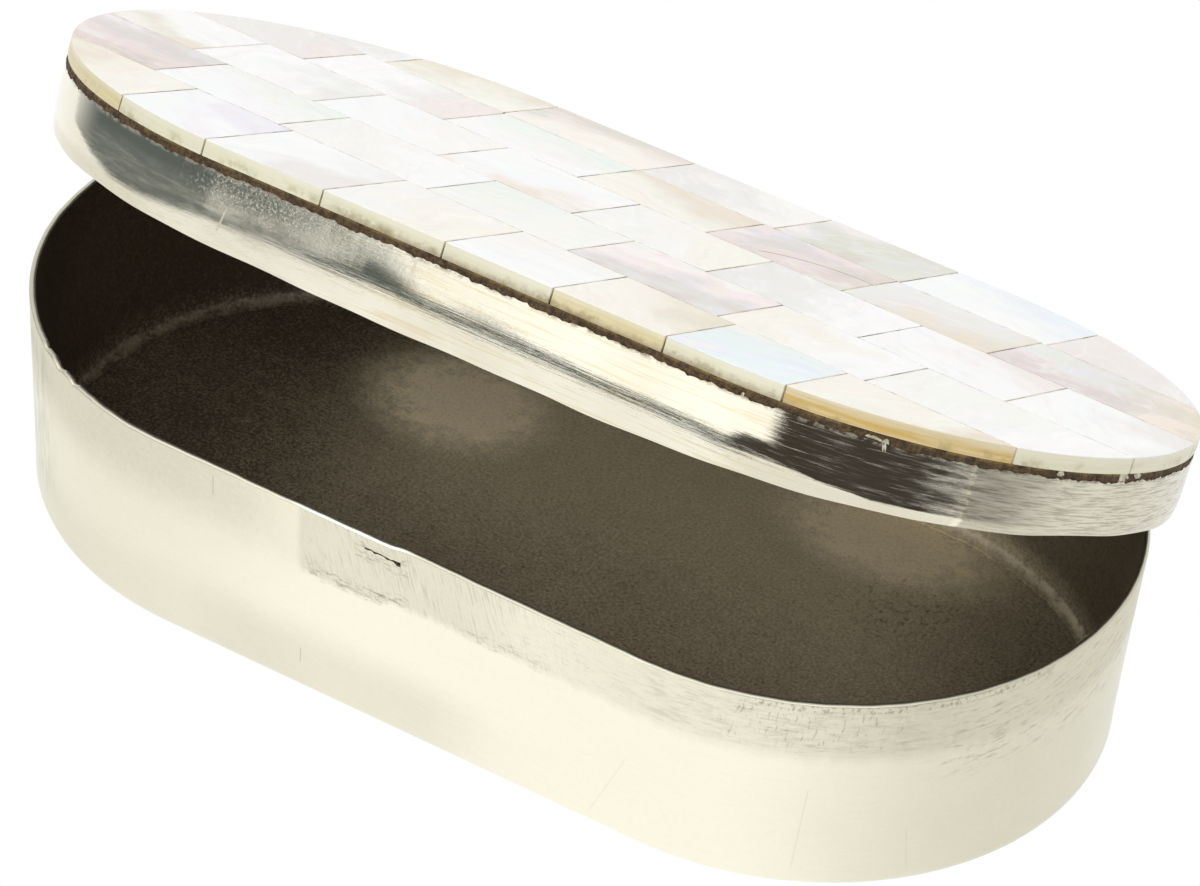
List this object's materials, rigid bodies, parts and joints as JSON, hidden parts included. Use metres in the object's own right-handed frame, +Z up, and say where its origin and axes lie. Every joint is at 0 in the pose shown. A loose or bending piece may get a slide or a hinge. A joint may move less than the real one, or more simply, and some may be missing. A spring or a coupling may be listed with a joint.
{
  "type": "oval box with a hinged lid",
  "caption": "Oval sheet-metal trinket box with a cap lid hinged at the back, faced with mother-of-pearl tiles, and a snap catch at the front.",
  "frame": {"origin": "centre of the flat underside", "axes": "+X along the box, -Y to the front with the catch, +Y to the back with the hinge, +Z up"},
  "size_m": [0.1018, 0.058, 0.0449],
  "materials": {
    "nickel_silver": "worn satin, silvery white metal",
    "solder": "rough solder",
    "mother_of_pearl": "polished pearl",
    "brown_cement": "dry cement"
  },
  "bodies": {
    "base": {"base_hinge_bar": "nickel_silver", "base_knuckle_1": "nickel_silver", "base_knuckle_2": "nickel_silver", "base_knuckle_3": "nickel_silver", "base_pan": "nickel_silver", "base_wall": "nickel_silver", "hinge_pin": "nickel_silver", "solder_run": "solder"},
    "lid": {"cement_bed": "brown_cement", "lid_band": "nickel_silver", "lid_hinge_strip": "nickel_silver", "lid_knuckle_1": "nickel_silver", "lid_knuckle_2": "nickel_silver", "lid_plate": "nickel_silver", "pearl_tile_row1_1": "mother_of_pearl", "pearl_tile_row1_2": "mother_of_pearl", "pearl_tile_row1_3": "mother_of_pearl", "pearl_tile_row1_4": "mother_of_pearl", "pearl_tile_row1_5": "mother_of_pearl", "pearl_tile_row1_6": "mother_of_pearl", "pearl_tile_row1_7": "mother_of_pearl", "pearl_tile_row2_1": "mother_of_pearl", "pearl_tile_row2_2": "mother_of_pearl", "pearl_tile_row2_3": "mother_of_pearl", "pearl_tile_row2_4": "mother_of_pearl", "pearl_tile_row2_5": "mother_of_pearl", "pearl_tile_row2_6": "mother_of_pearl", "pearl_tile_row2_7": "mother_of_pearl", "pearl_tile_row3_1": "mother_of_pearl", "pearl_tile_row3_2": "mother_of_pearl", "pearl_tile_row3_3": "mother_of_pearl", "pearl_tile_row3_4": "mother_of_pearl", "pearl_tile_row3_5": "mother_of_pearl", "pearl_tile_row3_6": "mother_of_pearl", "pearl_tile_row3_7": "mother_of_pearl", "pearl_tile_row3_8": "mother_of_pearl", "pearl_tile_row4_1": "mother_of_pearl", "pearl_tile_row4_2": "mother_of_pearl", "pearl_tile_row4_3": "mother_of_pearl", "pearl_tile_row4_4": "mother_of_pearl", "pearl_tile_row4_5": "mother_of_pearl", "pearl_tile_row4_6": "mother_of_pearl", "pearl_tile_row4_7": "mother_of_pearl", "pearl_tile_row5_1": "mother_of_pearl", "pearl_tile_row5_2": "mother_of_pearl", "pearl_tile_row5_3": "mother_of_pearl", "pearl_tile_row5_4": "mother_of_pearl", "pearl_tile_row5_5": "mother_of_pearl", "pearl_tile_row5_6": "mother_of_pearl", "pearl_tile_row5_7": "mother_of_pearl", "pearl_tile_row5_8": "mother_of_pearl"}
  },
  "joints": [
    {"name": "lid_hinge", "type": "hinge", "parent": "base", "child": "lid", "pos_m": [0, 0.02955, 0.0148], "axis": [-1, 0, 0], "range_deg": [-24, 71]}
  ]
}
